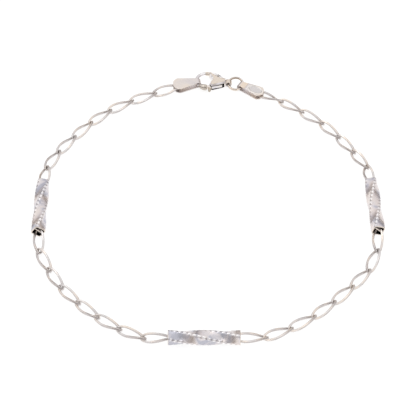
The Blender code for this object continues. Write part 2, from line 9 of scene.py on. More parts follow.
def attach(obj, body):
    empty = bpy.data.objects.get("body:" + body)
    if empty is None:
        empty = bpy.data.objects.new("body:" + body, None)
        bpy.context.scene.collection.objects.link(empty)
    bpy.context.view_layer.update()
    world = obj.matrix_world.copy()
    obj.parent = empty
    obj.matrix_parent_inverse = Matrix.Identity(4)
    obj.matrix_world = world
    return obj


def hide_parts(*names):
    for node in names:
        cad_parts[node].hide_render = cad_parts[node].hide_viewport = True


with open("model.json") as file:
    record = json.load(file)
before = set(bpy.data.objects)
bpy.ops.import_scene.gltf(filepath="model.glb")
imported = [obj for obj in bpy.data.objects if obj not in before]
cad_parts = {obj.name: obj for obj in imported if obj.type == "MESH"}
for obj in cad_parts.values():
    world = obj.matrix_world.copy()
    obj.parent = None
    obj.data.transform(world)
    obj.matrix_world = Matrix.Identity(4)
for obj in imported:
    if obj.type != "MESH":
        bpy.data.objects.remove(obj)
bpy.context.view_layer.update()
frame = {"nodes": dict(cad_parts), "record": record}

mm = 0.001
degree = math.pi / 180
fullTurn = 2 * math.pi
quarterTurn = math.pi / 2
eighthTurn = math.pi / 4


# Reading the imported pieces

def trianglesOf(node):
    # the node's triangles as an array of corners
    mesh = frame["nodes"][node].data
    mesh.calc_loop_triangles()
    places = np.empty(len(mesh.vertices) * 3, np.float32)
    mesh.vertices.foreach_get("co", places)
    corners = np.empty(len(mesh.loop_triangles) * 3, np.int32)
    mesh.loop_triangles.foreach_get("vertices", corners)
    return places.reshape(-1, 3).astype(float)[corners.reshape(-1, 3)]


def middleOf(node):
    # mean of its triangles' corners, enough to tell which way a neighbour lies
    return trianglesOf(node).reshape(-1, 3).mean(axis=0)


def ownAxes(node, forward):
    # middle and axes of a symmetric piece from the spread of its skin by area: longest, middle, shortest;
    # the longest points forward and the shortest points up
    skin = trianglesOf(node)
    centres = skin.mean(axis=1)
    areas = np.linalg.norm(np.cross(skin[:, 1] - skin[:, 0], skin[:, 2] - skin[:, 0]), axis=1)
    middle = np.average(centres, axis=0, weights=areas)
    around = centres - middle
    spread = np.einsum("n,ni,nj->ij", areas, around, around)
    shortest, _, longest = np.linalg.eigh(spread)[1].T
    longest = longest * np.sign(longest @ forward)
    shortest = shortest * np.sign(shortest[2])
    return middle, np.stack((longest, np.cross(shortest, longest), shortest))


def placed(local, origin, axes):
    # points given along the axes, taken to the model's own frame
    return origin + np.asarray(local) @ axes


# Making surfaces

def ringSweep(points, ups, sections, closed):
    # a section carried along a path: each row is the path's point plus the section's first number times
    # the side direction and its second times the up direction, both square to the path
    if closed:
        tangents = np.roll(points, -1, axis=0) - np.roll(points, 1, axis=0)
    else:
        tangents = np.gradient(points, axis=0)
    tangents /= np.linalg.norm(tangents, axis=1, keepdims=True)
    sides = np.cross(ups, tangents)
    sides /= np.linalg.norm(sides, axis=1, keepdims=True)
    uprights = np.cross(tangents, sides)
    sections = np.broadcast_to(sections, (len(points),) + sections.shape[-2:])
    return points[:, None] + sections[..., :1] * sides[:, None] + sections[..., 1:] * uprights[:, None]


def sameUps(direction, count):
    return np.tile(np.asarray(direction, float), (count, 1))


def roundSection(count):
    turns = np.linspace(0, fullTurn, count, endpoint=False)
    return np.stack((np.cos(turns), np.sin(turns)), axis=1)


def flatSection(halfWidth, halfHeight, corner, steps):
    # a rectangle with round corners, anticlockwise from its right side
    turns = np.linspace(0, quarterTurn, steps + 1)
    rows = []
    for quadrant, (signX, signY) in enumerate(((1, 1), (-1, 1), (-1, -1), (1, -1))):
        swing = turns + quadrant * quarterTurn
        rows.append(np.stack((signX * (halfWidth - corner) + corner * np.cos(swing),
                              signY * (halfHeight - corner) + corner * np.sin(swing)), axis=1))
    return np.concatenate(rows)


def roundEnds(lengths, radii, startRound, endRound):
    # radii that close to a point over a quarter ellipse at either end of a path
    radii = np.array(radii, float)
    leastSquare = 0.0004         # of the share left at the very end, so that no ring closes to nothing
    for fromEnd, reach in ((lengths, startRound), (lengths[-1] - lengths, endRound)):
        if reach:
            share = np.clip(1 - fromEnd / reach, 0, 1)
            radii *= np.sqrt(np.clip(1 - share ** 2, leastSquare, 1))
    return radii


def pathLengths(points):
    return np.concatenate(((0,), np.cumsum(np.linalg.norm(np.diff(points, axis=0), axis=1))))


def gridMesh(name, rows, closedAlong=False, sharpAbove=None, shades=None):
    # rings of points joined in order; open ends are closed by one flat face each, and each of the shades
    # becomes an attribute of the points
    count, around = rows.shape[:2]
    number = np.arange(count * around).reshape(count, around)
    last = number if closedAlong else number[:-1]
    following = np.roll(number, -1, axis=0) if closedAlong else number[1:]
    faces = np.stack((last, np.roll(last, -1, axis=1), np.roll(following, -1, axis=1), following), axis=-1)
    faceList = faces.reshape(-1, 4).tolist()
    if not closedAlong:
        faceList += [number[0, ::-1].tolist(), number[-1].tolist()]
    mesh = bpy.data.meshes.new(name)
    mesh.from_pydata(rows.reshape(-1, 3).tolist(), [], faceList)
    mesh.update()
    mesh.shade_smooth()
    if sharpAbove is not None:
        mesh.set_sharp_from_angle(angle=sharpAbove)
    for attribute, values in (shades or {}).items():
        spread = np.broadcast_to(values, rows.shape[:2])
        layer = mesh.attributes.new(attribute, "FLOAT", "POINT")
        layer.data.foreach_set("value", np.ascontiguousarray(spread, dtype=np.float32).reshape(-1))
    return mesh


def markFaces(mesh, attribute, value):
    # an attribute of the faces outlives a cut, so it tells which faces the cutter left
    layer = mesh.attributes.new(attribute, "FLOAT", "FACE")
    layer.data.foreach_set("value", np.full(len(mesh.polygons), value, np.float32))
    return mesh


def newObject(name, mesh, material=None):
    made = bpy.data.objects.new(name, mesh)
    bpy.context.scene.collection.objects.link(made)
    if material is not None:
        mesh.materials.append(material)
    return made


def mixedMesh(name, base, steps):
    # the base mesh after each tool is joined to it or cut from it
    body = newObject(name, base)
    tools = []
    for number, (tool, operation) in enumerate(steps):
        cutter = newObject(f"{name}_tool_{number}", tool)
        tools.append(cutter)
        modifier = body.modifiers.new(f"step_{number}", "BOOLEAN")
        modifier.operation = operation
        modifier.object = cutter
        modifier.solver = "EXACT"
    graph = bpy.context.evaluated_depsgraph_get()
    mixed = bpy.data.meshes.new_from_object(body.evaluated_get(graph))
    for item in [body] + tools:
        spent = item.data
        bpy.data.objects.remove(item, do_unlink=True)
        bpy.data.meshes.remove(spent)
    mixed.name = name
    return mixed


def finishPiece(piece, body, node):
    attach(piece, body)
    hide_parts(node)


# Finishes

def addNode(tree, kind, place, **values):
    node = tree.nodes.new(kind)
    node.location = place
    for key, value in values.items():
        setattr(node, key, value)
    return node


metalPattern = {
    "patchDetail": 2,
    "coolEnd": 0.40,             # levels of the patch noise where each tone is full
    "middleAt": 0.50,
    "warmEnd": 0.62,
    "wearDetail": 4,
    "wearFrom": 0.3,             # levels of the wear noise that the gloss runs between
    "wearTo": 0.7,
    "bumpDepth": 0.02 * mm,
}


def whiteMetal(name, look):
    # white metal that shifts between a warm and a cool tone in soft patches, with fine wear in its gloss;
    # each tint takes over where the surface's own attribute of that name rises to 1
    material = bpy.data.materials.new(name)
    material.use_nodes = True
    tree = material.node_tree
    shader = tree.nodes["Principled BSDF"]
    shader.inputs["Metallic"].default_value = 1
    link = tree.links.new
    place = addNode(tree, "ShaderNodeTexCoord", (-1400, 0))

    patches = addNode(tree, "ShaderNodeTexNoise", (-1100, 200))
    patches.inputs["Scale"].default_value = look["patchScale"]
    patches.inputs["Detail"].default_value = metalPattern["patchDetail"]
    patches.inputs["Distortion"].default_value = look["patchTwist"]
    link(place.outputs["Object"], patches.inputs["Vector"])
    tones = addNode(tree, "ShaderNodeValToRGB", (-800, 200))
    tones.color_ramp.elements[0].position = metalPattern["coolEnd"]
    tones.color_ramp.elements[1].position = metalPattern["warmEnd"]
    tones.color_ramp.elements[0].color = (*look["cool"], 1)
    tones.color_ramp.elements[1].color = (*look["warm"], 1)
    middleTone = tones.color_ramp.elements.new(metalPattern["middleAt"])
    middleTone.color = (*look["middle"], 1)
    link(patches.outputs["Fac"], tones.inputs["Fac"])
    colour = tones.outputs["Color"]

    for attribute, tint in look["tints"].items():
        share = addNode(tree, "ShaderNodeAttribute", (-800, -60), attribute_name=attribute)
        blend = addNode(tree, "ShaderNodeMix", (-500, 160), data_type="RGBA")
        link(share.outputs["Fac"], blend.inputs["Factor"])
        # the mix node's colour sockets go by number, because others have the same names
        link(colour, blend.inputs[6])
        blend.inputs[7].default_value = (*tint, 1)
        colour = blend.outputs[2]
    link(colour, shader.inputs["Base Color"])

    wear = addNode(tree, "ShaderNodeTexNoise", (-1100, -250))
    wear.inputs["Scale"].default_value = look["wearScale"]
    wear.inputs["Detail"].default_value = metalPattern["wearDetail"]
    link(place.outputs["Object"], wear.inputs["Vector"])
    gloss = addNode(tree, "ShaderNodeMapRange", (-800, -250))
    gloss.inputs["From Min"].default_value = metalPattern["wearFrom"]
    gloss.inputs["From Max"].default_value = metalPattern["wearTo"]
    gloss.inputs["To Min"].default_value = look["smooth"]
    gloss.inputs["To Max"].default_value = look["rough"]
    link(wear.outputs["Fac"], gloss.inputs["Value"])
    link(gloss.outputs["Result"], shader.inputs["Roughness"])

    relief = addNode(tree, "ShaderNodeBump", (-500, -400))
    relief.inputs["Strength"].default_value = look["bump"]
    relief.inputs["Distance"].default_value = metalPattern["bumpDepth"]
    link(wear.outputs["Fac"], relief.inputs["Height"])
    link(relief.outputs["Normal"], shader.inputs["Normal"])
    return material


linkMetal = whiteMetal("flat_cut_wire", {
    "cool": (0.71, 0.68, 0.67), "middle": (0.79, 0.73, 0.69), "warm": (0.86, 0.77, 0.69),
    "patchScale": 420, "patchTwist": 0.6, "wearScale": 3000, "smooth": 0.26, "rough": 0.40, "bump": 0.15,
    # side: painted shade, a cooler darker tone standing in for the reflection on the wire's side flats;
    # tip: painted shade where each link's tip wraps round the next
    "tints": {"side": (0.60, 0.56, 0.55), "tip": (0.14, 0.10, 0.075)},
})
barMetal = whiteMetal("twisted_tube", {
    "cool": (0.50, 0.50, 0.56), "middle": (0.72, 0.68, 0.70), "warm": (0.79, 0.72, 0.69),
    "patchScale": 300, "patchTwist": 1.2, "wearScale": 2600, "smooth": 0.24, "rough": 0.40, "bump": 0.25,
    # bead: painted highlight on the bead crowns; notch: painted shade in the notches; rim: painted
    # highlight, warm, on the end rims; inner: painted shade, near black, inside the tube and in part on the
    # posts
    "tints": {"beadAndHighlight": (0.97, 0.95, 0.95), "notch": (0.50, 0.47, 0.47), "rim": (0.82, 0.74, 0.66),
              "inner": (0.03, 0.026, 0.024)},
})
tagMetal = whiteMetal("folded_strip", {
    "cool": (0.75, 0.70, 0.69), "middle": (0.80, 0.74, 0.70), "warm": (0.85, 0.76, 0.68),
    "patchScale": 260, "patchTwist": 0.6, "wearScale": 3200, "smooth": 0.26, "rough": 0.42, "bump": 0.30,
    # behindFoldReflection: painted reflection, a warmer tone on the plate behind the step; lip: painted
    # highlight on the raised lip; recess: painted shade in the oval recess
    "tints": {"behindFoldReflection": (0.86, 0.74, 0.62), "lip": (0.91, 0.87, 0.82), "recessAndShade": (0.72, 0.69, 0.68)},
})
ringMetal = whiteMetal("jump_ring_wire", {
    "cool": (0.74, 0.72, 0.76), "middle": (0.82, 0.77, 0.74), "warm": (0.84, 0.74, 0.65),
    "patchScale": 500, "patchTwist": 0.6, "wearScale": 3000, "smooth": 0.12, "rough": 0.24, "bump": 0.12,
    # inside: painted shade on the inside of the ring's bend, over a slight darkening of the whole wire
    "tints": {"insideShade": (0.42, 0.33, 0.25)},
})
claspMetal = whiteMetal("cast_clasp", {
    "cool": (0.73, 0.70, 0.72), "middle": (0.80, 0.76, 0.74), "warm": (0.84, 0.76, 0.68),
    "patchScale": 380, "patchTwist": 0.6, "wearScale": 3000, "smooth": 0.12, "rough": 0.26, "bump": 0.14,
    # bevel: painted highlight on the bevels; top: painted reflection, a warmer tone on the upper and lower
    # flats; inside: painted shade on the inside of the wires' bends; hollow: painted shade, near black, on
    # the faces of the bore and the lever's slot
    "tints": {"bevelHighlight": (0.93, 0.91, 0.92), "topReflection": (0.77, 0.68, 0.59), "insideShade": (0.42, 0.36, 0.28),
              "hollowShade": (0.05, 0.043, 0.038)},
})
print("materials done")


# Chain links

linkSizes = {
    "halfLength": 2.64 * mm,     # centre line
    "halfWidth": 0.80 * mm,
    "fullness": 2.15,            # 2 is an ellipse, more is squarer
    "twist": 90 * degree,        # left-handed
    "wireHalf": 0.186 * mm,
    "wireCorner": 0.085 * mm,
    "tipFrom": 0.93,             # share of the half length where the painted shade at the tip starts
    "tipFull": 0.99,
    "tipMiddle": 0.4,            # share of the tip's painted shade halfway through the wire: more inside, less outside
    "steps": 72,
    "cornerSteps": 3,
}
sharpAngles = {"link": 20 * degree, "tag": 50 * degree, "clasp": 32 * degree}
linkNames = sorted(node for node in frame["nodes"] if node.startswith("link_"))
chainOrder = ["end_tag_left"] + linkNames + ["end_tag_right"]


def linkRows():
    # a full ellipse by angle, turned about its own length in proportion to the place along it;
    # the flats of the wire turn with it
    size = linkSizes
    turns = np.linspace(0, fullTurn, size["steps"], endpoint=False)
    power = 2 / size["fullness"]
    along = np.sign(np.cos(turns)) * np.abs(np.cos(turns)) ** power
    across = np.sign(np.sin(turns)) * np.abs(np.sin(turns)) ** power * size["halfWidth"]
    angle = -along * size["twist"] / 2
    points = np.stack((along * size["halfLength"], across * np.cos(angle), across * np.sin(angle)), axis=1)
    ups = np.stack((np.zeros_like(angle), -np.sin(angle), np.cos(angle)), axis=1)
    section = flatSection(size["wireHalf"], size["wireHalf"], size["wireCorner"], size["cornerSteps"])
    # painted shade where each tip wraps round the next link: full at the very tip, mostly on the wire's
    # inner side
    nearTip = (np.abs(along) - size["tipFrom"]) / (size["tipFull"] - size["tipFrom"])
    inwards = np.clip(size["tipMiddle"] + section[:, 0] / size["wireHalf"], 0, 1)
    return ringSweep(points, ups, section, closed=True), np.clip(nearTip, 0, 1)[:, None] * inwards


def paintedSideShade(steps):
    # share of painted shade by the section's points, a cooler darker tone that stands in for the side
    # flats' reflection: 1 on the two side flats of the wire and 0 on the upper and lower ones
    shade = np.tile(np.cos(np.linspace(0, quarterTurn, steps + 1)) ** 2, (4, 1))
    shade[1::2] = 1 - shade[1::2]
    return shade.reshape(-1)


linkShape, tipPaintedShade = linkRows()
linkShades = {"side": paintedSideShade(linkSizes["cornerSteps"]), "tip": tipPaintedShade}
for number, name in enumerate(linkNames, 1):
    forward = middleOf(chainOrder[number + 1]) - middleOf(chainOrder[number - 1])
    middle, axes = ownAxes(name, forward)
    mesh = gridMesh(name + "_wire", placed(linkShape, middle, axes), closedAlong=True,
                    sharpAbove=sharpAngles["link"], shades=linkShades)
    finishPiece(newObject(name + "_wire", mesh, linkMetal), "bracelet", name)
print("links done", len(linkNames))


# Twisted bars

barSizes = {
    "length": 11.80 * mm,
    "halfFlats": 1.01 * mm,
    "ridgeRadius": 0.44 * mm,
    "wall": 0.20 * mm,
    "twist": 160 * degree,       # right-handed
    "beads": 15,
    "beadDepth": 0.09 * mm,
    "beadRise": 0.03 * mm,
    "beadWidth": 0.21 * mm,
    "notchLean": 2.0,            # radians of the bead wave for each mm across the ridge
    "notchShare": 0.52,          # share of the wave that the notch takes
    "notchFullness": 0.8,        # power of the notch's depth, under 1 is fuller
    "beadGain": 1.5,             # the bead's painted highlight and rise grow by this from beadFrom
    "beadFrom": 0.2,
    "plainEnd": 0.45 * mm,
    "rim": 0.05 * mm,
    "post": 0.16 * mm,           # radius
    "postFromEnd": 0.34 * mm,
    "postReach": 1.0 * mm,
    # share of the tube's near-black painted inner shade that the posts take
    "postPaintedShade": 0.7,
    "around": 88,
    "perBead": 12,
    "innerRows": 30,
}


def squareRadius(halfFlats, ridge, angle):
    # distance to the outline of a square with round corners, by angle from a flat's normal
    folded = np.abs((angle + eighthTurn) % quarterTurn - eighthTurn)
    corner = halfFlats - ridge
    flat = halfFlats / np.cos(folded)
    reach = corner * (np.cos(folded) + np.sin(folded))
    curved = reach + np.sqrt(np.maximum(reach ** 2 - 2 * corner ** 2 + ridge ** 2, 0))
    return np.where(np.tan(folded) * halfFlats <= corner, flat, curved)


def barRows(firstRidge):
    # radius by height and angle: the round-cornered square turns with the height, notches are cut across
    # its ridges at even steps, and the wall closes over the rims on an inner square of the same twist
    size = barSizes
    heights = np.linspace(0, size["length"], size["beads"] * size["perBead"] + 1)
    turns = np.linspace(0, fullTurn, size["around"], endpoint=False)
    ridgeAt = firstRidge + size["twist"] * heights / size["length"]
    fromRidge = (turns - ridgeAt[:, None] + eighthTurn) % quarterTurn - eighthTurn
    radius = squareRadius(size["halfFlats"], size["ridgeRadius"], fromRidge + eighthTurn)
    sideways = fromRidge * size["halfFlats"]
    onRidge = np.exp(-(sideways / size["beadWidth"]) ** 2)
    wave = np.abs(np.sin(np.pi * size["beads"] * heights[:, None] / size["length"]
                         + size["notchLean"] * sideways / mm))
    notch = np.clip(1 - wave / size["notchShare"], 0, 1) ** size["notchFullness"]
    fade = np.clip(np.minimum(heights, size["length"] - heights) / size["plainEnd"], 0, 1)[:, None] ** 2
    # the notch's depth also gives its painted shade, and the bead's share gives both its rise and its
    # painted highlight
    notchCutAndShade = onRidge * notch * fade
    beadAndHighlight = np.clip(onRidge * wave ** 2 * fade * size["beadGain"] - size["beadFrom"], 0, 1)
    radius = radius - size["beadDepth"] * notchCutAndShade + size["beadRise"] * beadAndHighlight
    outer = np.stack((np.broadcast_to(heights[:, None], radius.shape),
                      radius * np.cos(turns), radius * np.sin(turns)), axis=-1)

    back = np.linspace(size["length"], 0, size["innerRows"])
    innerRidge = firstRidge + size["twist"] * back / size["length"]
    fromInner = (turns - innerRidge[:, None] + eighthTurn) % quarterTurn - eighthTurn
    innerRadius = squareRadius(size["halfFlats"] - size["wall"], size["ridgeRadius"] - size["wall"],
                               fromInner + eighthTurn)
    inner = np.stack((np.broadcast_to(back[:, None], innerRadius.shape),
                      innerRadius * np.cos(turns), innerRadius * np.sin(turns)), axis=-1)
    soft = size["rim"]
    outer[0, :, 1:] *= 1 - soft / size["halfFlats"]
    outer[-1, :, 1:] *= 1 - soft / size["halfFlats"]
    outer[1, :, 0] = soft
    outer[-2, :, 0] = size["length"] - soft
    inner[1, :, 0] = size["length"] - soft
    inner[-2, :, 0] = soft
    inner[0, :, 1:] *= 1 + soft / size["halfFlats"]
    inner[-1, :, 1:] *= 1 + soft / size["halfFlats"]
    # painted shade inside the tube, full on its inner wall, and painted highlight on the rows of the end
    # rims
    innerPaintedShade = np.ones(innerRadius.shape)
    innerPaintedShade[[0, -1]] = 0
    rim = np.zeros((len(outer) + len(inner), 1))
    rim[[0, 1, len(outer) - 2, len(outer) - 1, len(outer), -1]] = 1
    return np.concatenate((outer, inner)), {
        "notch": np.concatenate((notchCutAndShade, np.zeros_like(innerPaintedShade))),
        "beadAndHighlight": np.concatenate((beadAndHighlight, np.zeros_like(innerPaintedShade))),
        "rim": rim,
        "inner": np.concatenate((np.zeros_like(notchCutAndShade), innerPaintedShade)),
    }


def ridgeAngle(node, origin, axes):
    # angle of a ridge at the start of the tube, from where its outer skin stands farthest out
    endSlack, skinSlack = 0.02 * mm, 0.05 * mm
    corners = (trianglesOf(node).reshape(-1, 3) - origin) @ axes.T
    atStart = corners[np.abs(corners[:, 0]) < endSlack]
    distance = np.hypot(atStart[:, 1], atStart[:, 2])
    outer = distance > barSizes["halfFlats"] - skinSlack
    angles = np.arctan2(atStart[outer, 2], atStart[outer, 1])
    weights = distance[outer] - barSizes["halfFlats"]
    return np.angle(np.sum(weights * np.exp(4j * angles))) / 4


postGrid = {"rings": 5, "sides": 16}


def postRows(middle, direction, reach, radius):
    # a round post along the direction, as far as the reach each way
    rings = postGrid["rings"]
    points = middle + np.linspace(-reach, reach, rings)[:, None] * direction
    section = roundSection(postGrid["sides"]) * radius
    return ringSweep(points, sameUps((1, 0, 0), rings), section, closed=False)


barNeighbours = {"bar_left": ("link_08", "link_09"), "bar_front": ("link_16", "link_17"),
                 "bar_right": ("link_24", "link_25")}
for name, (linkBefore, linkAfter) in barNeighbours.items():
    middle, axes = ownAxes(name, middleOf(linkAfter) - middleOf(linkBefore))
    level = np.cross((0, 0, 1), axes[0])
    level /= np.linalg.norm(level)
    axes = np.stack((axes[0], level, np.cross(axes[0], level)))
    start = middle - axes[0] * barSizes["length"] / 2
    rows, shades = barRows(ridgeAngle(name, start, axes))
    tube = gridMesh(name + "_tube", placed(rows, start, axes), closedAlong=True, shades=shades)
    joined = []
    for along, lean in ((barSizes["postFromEnd"], 1), (barSizes["length"] - barSizes["postFromEnd"], -1)):
        direction = np.array((0, lean * math.sin(eighthTurn), math.cos(eighthTurn)))
        post = postRows(np.array((along, 0, 0)), direction, barSizes["postReach"], barSizes["post"])
        # the posts take part of the painted shade inside the tube
        postMesh = gridMesh("post", placed(post, start, axes), shades={"inner": barSizes["postPaintedShade"]})
        joined.append((postMesh, "UNION"))
    piece = newObject(name + "_tube", mixedMesh(name + "_tube", tube, joined), barMetal)
    finishPiece(piece, "bracelet", name)
print("bars done")


# End tags

tagSizes = {
    "length": 5.20 * mm,
    "plate": 0.20 * mm,
    "foldOpening": 0.94 * mm,
    "mouthOpening": 0.74 * mm,
    "foldWidth": 1.30 * mm,
    "endWidth": {"end_tag_left": 2.90 * mm, "end_tag_right": 2.45 * mm},
    "endRounding": 0.8,          # share of half the end's width
    "edge": 0.07 * mm,           # rounding of the long edges
    "edgeMost": 0.9,             # share of the half width that it may take
    "edgePoints": 4,
    "leastHalf": 0.012 * mm,     # half width at the very end
    "postFromTip": 0.65 * mm,
    "post": 0.16 * mm,
    "plateRows": 110,
    "foldRows": 24,
    "acrossSteps": 56,
}
panelSizes = {"length": 2.60 * mm, "width": 1.50 * mm, "depth": 0.08 * mm, "fromTip": 0.35 * mm,
              "lip": 0.18 * mm, "lipRise": 0.035 * mm, "stepAt": 1.05 * mm, "stepRise": 0.05 * mm,
              "wall": 0.10 * mm}


def tagRows(node):
    # a flat section carried along a U: its width follows the plan by the place along the tag, and the
    # outer face of the upper plate takes the step and the oval recess as small moves along its normal
    size = tagSizes
    outside = size["foldOpening"] / 2 + size["plate"]
    far = size["length"] - outside
    bend = size["foldOpening"] / 2 + size["plate"] / 2
    mouth = size["mouthOpening"] / 2 + size["plate"] / 2
    plateX = far * np.sin(np.linspace(quarterTurn, 0, size["plateRows"]))
    plateZ = bend + (mouth - bend) * plateX / far
    swing = np.linspace(quarterTurn, 3 * quarterTurn, size["foldRows"])[1:-1]
    x = np.concatenate((plateX, bend * np.cos(swing), plateX[::-1]))
    z = np.concatenate((plateZ, bend * np.sin(swing), -plateZ[::-1]))
    points = np.stack((x, np.zeros_like(x), z), axis=1)
    tangents = np.gradient(points, axis=0)
    outward = np.stack((tangents[:, 2], np.zeros_like(x), -tangents[:, 0]), axis=1)

    halfEnd = size["endWidth"][node] / 2
    rounding = size["endRounding"] * halfEnd
    halfFold = size["foldWidth"] / 2
    taper = np.clip(x / (far - rounding), 0, 1)
    halfWidth = halfFold + (halfEnd - halfFold) * taper
    beyond = np.clip((x - (far - rounding)) / rounding, 0, 1)
    halfWidth = np.maximum(halfWidth * np.sqrt(1 - beyond ** 2), size["leastHalf"])

    edge = np.minimum(size["edge"], halfWidth * size["edgeMost"])
    half = size["plate"] / 2
    corner = np.linspace(0, quarterTurn, size["edgePoints"])
    across = np.linspace(-1, 1, size["acrossSteps"] + 1)[1:-1]
    flat = (halfWidth - edge)[:, None]
    edgeColumn = edge[:, None]
    topSide = np.concatenate((flat + edgeColumn * np.cos(corner), flat * -across,
                              -flat - edgeColumn * np.sin(corner)), axis=1)
    edgeRise = np.minimum(edge, half)[:, None]
    topLift = np.concatenate((half - edgeRise + edgeRise * np.sin(corner),
                              np.full((len(x), len(across)), half),
                              half - edgeRise + edgeRise * np.cos(corner)), axis=1)
    lowSide = -topSide
    lowLift = -topLift
    shades = {}
    if node == "end_tag_right":
        upper = np.zeros((len(x), 1))
        upper[:size["plateRows"]] = 1
        relief, marks = panelRelief(x[:, None], topSide, far)
        topLift = topLift + upper * relief
        # painted reflection behind the step, highlight on the lip and shade in the recess, on the upper
        # plate only
        for mark, share in marks.items():
            shades[mark] = np.concatenate((upper * share, np.zeros_like(lowSide)), axis=1)
    sections = np.stack((np.concatenate((topSide, lowSide), axis=1),
                         np.concatenate((topLift, lowLift), axis=1)), axis=-1)
    return ringSweep(points, outward, sections, closed=False), shades


def panelRelief(x, y, far):
    # a low lip round an oval recess, and a small step up to them behind the fold, with the shares of their
    # painted marks: highlight on the lip, shade in the recess and a warmer reflection behind the step
    panel = panelSizes
    centre = far - panel["fromTip"] - panel["length"] / 2
    oval = np.hypot((x - centre) / (panel["length"] / 2), y / (panel["width"] / 2))
    outside = (oval - 1) * panel["width"] / 2
    recessAndShade = np.clip(0.5 - outside / panel["wall"], 0, 1)
    lip = np.exp(-((outside - panel["lip"] / 2) / (panel["lip"] / 2)) ** 2) * (outside > -panel["wall"] / 2)
    behind = 1 - np.clip((x - panel["stepAt"]) / panel["wall"] + 0.5, 0, 1)
    relief = panel["lipRise"] * lip - panel["depth"] * recessAndShade - panel["stepRise"] * behind
    return relief, {"recessAndShade": recessAndShade, "lip": lip, "behindFoldReflection": np.broadcast_to(behind, y.shape)}


def levelWithPlates(node, axes):
    # the same axes with up halfway between the two plates, as the sum of their area vectors has it
    leastCosine = 0.8            # of a face's lean from the axis, which leaves the fold and edges out
    skin = trianglesOf(node)
    areas = np.cross(skin[:, 1] - skin[:, 0], skin[:, 2] - skin[:, 0])
    flat = np.abs(areas @ axes[2]) > leastCosine * np.linalg.norm(areas, axis=1)
    up = np.sum(areas[flat] * np.sign(areas[flat] @ axes[2])[:, None], axis=0)
    up /= np.linalg.norm(up)
    ahead = axes[0] - (axes[0] @ up) * up
    ahead /= np.linalg.norm(ahead)
    return np.stack((ahead, np.cross(up, ahead), up))


tagNeighbours = {"end_tag_left": linkNames[0], "end_tag_right": linkNames[-1]}
for name, neighbour in tagNeighbours.items():
    middle, axes = ownAxes(name, middleOf(neighbour) - middleOf(name))
    axes = levelWithPlates(name, axes)
    corners = (trianglesOf(name).reshape(-1, 3) - middle) @ axes.T
    outside = tagSizes["foldOpening"] / 2 + tagSizes["plate"]
    heightShift = (corners[:, 2].min() + corners[:, 2].max()) / 2
    foldMiddle = middle + axes[0] * (corners[:, 0].min() + outside) + axes[2] * heightShift
    rows, shades = tagRows(name)
    strip = gridMesh(name + "_strip", placed(rows, foldMiddle, axes), sharpAbove=sharpAngles["tag"],
                     shades=shades)
    postX = tagSizes["length"] - outside - tagSizes["postFromTip"]
    reach = tagSizes["mouthOpening"] / 2 + tagSizes["plate"] / 2
    post = postRows(np.array((postX, 0, 0)), np.array((0, 0, 1.0)), reach, tagSizes["post"])
    postMesh = gridMesh("post", placed(post, foldMiddle, axes))
    piece = newObject(name + "_strip", mixedMesh(name + "_strip", strip, [(postMesh, "UNION")]), tagMetal)
    finishPiece(piece, "bracelet", name)
print("tags done")


# Jump ring

ringSizes = {"bend": 1.34 * mm, "wire": 0.21 * mm, "around": 96, "section": 20}
# gain and least shares of the darker tint: painted shade on the inside of a bend, over a slight darkening
# of the whole wire
bendTint = {"gain": 1.2, "ring": 0.22, "clasp": 0.55}


def ringRows():
    # a round section carried round a circle
    turns = np.linspace(0, fullTurn, ringSizes["around"], endpoint=False)
    points = ringSizes["bend"] * np.stack((np.cos(turns), np.sin(turns), np.zeros_like(turns)), axis=1)
    section = roundSection(ringSizes["section"]) * ringSizes["wire"]
    return ringSweep(points, sameUps((0, 0, 1), len(turns)), section, closed=True)


def bendShade(count, least):
    # share of the darker tint round a bent wire: the least all over, which darkens the whole wire's tone,
    # and more on the inside of the bend, which is painted shade
    return np.clip(least + bendTint["gain"] * roundSection(count)[:, 0], least, 1)


ringMiddle, ringAxes = ownAxes("jump_ring", np.array((1.0, 0, 0)))
ringMesh = gridMesh("jump_ring_wire", placed(ringRows(), ringMiddle, ringAxes), closedAlong=True,
                    shades={"insideShade": bendShade(ringSizes["section"], bendTint["ring"])})
finishPiece(newObject("jump_ring_wire", ringMesh, ringMetal), "bracelet", "jump_ring")
print("ring done")


# Clasp

claspSizes = {
    "span": 5.95 * mm,
    "halfWidth": 2.25 * mm,
    "halfThickness": 0.80 * mm,
    "wallHalf": 0.44 * mm,       # height of the upright part of the side, each way
    "bend": 1.85 * mm,
    "rise": 0.30 * mm,
    "seatWire": 0.29 * mm,       # radii from here
    "rootWire": 0.37 * mm,
    "eye": 0.44 * mm,
    "eyeWall": 0.20 * mm,
    "eyeHalfWidth": 0.45 * mm,
    "eyeAt": 5.946 * mm,
    "pin": 0.18 * mm,
    "slotHalf": 0.47 * mm,
    "slotEnd": 0.30 * mm,
    "centre": (3.75, 0.35),      # in mm, what the bevels lean towards
    "soften": 0.07 * mm,         # height of the softer ring at each edge
    "insetMost": 0.85,           # share of the way to the centre
    "tipRound": 0.12 * mm,
    "eyeCorner": 0.09 * mm,
    "boreHalf": 2 * mm,
}
bevelInsets = {"all": 0.36, "near": 0.90, "far": 0.08}      # in mm, by the side that the outline faces

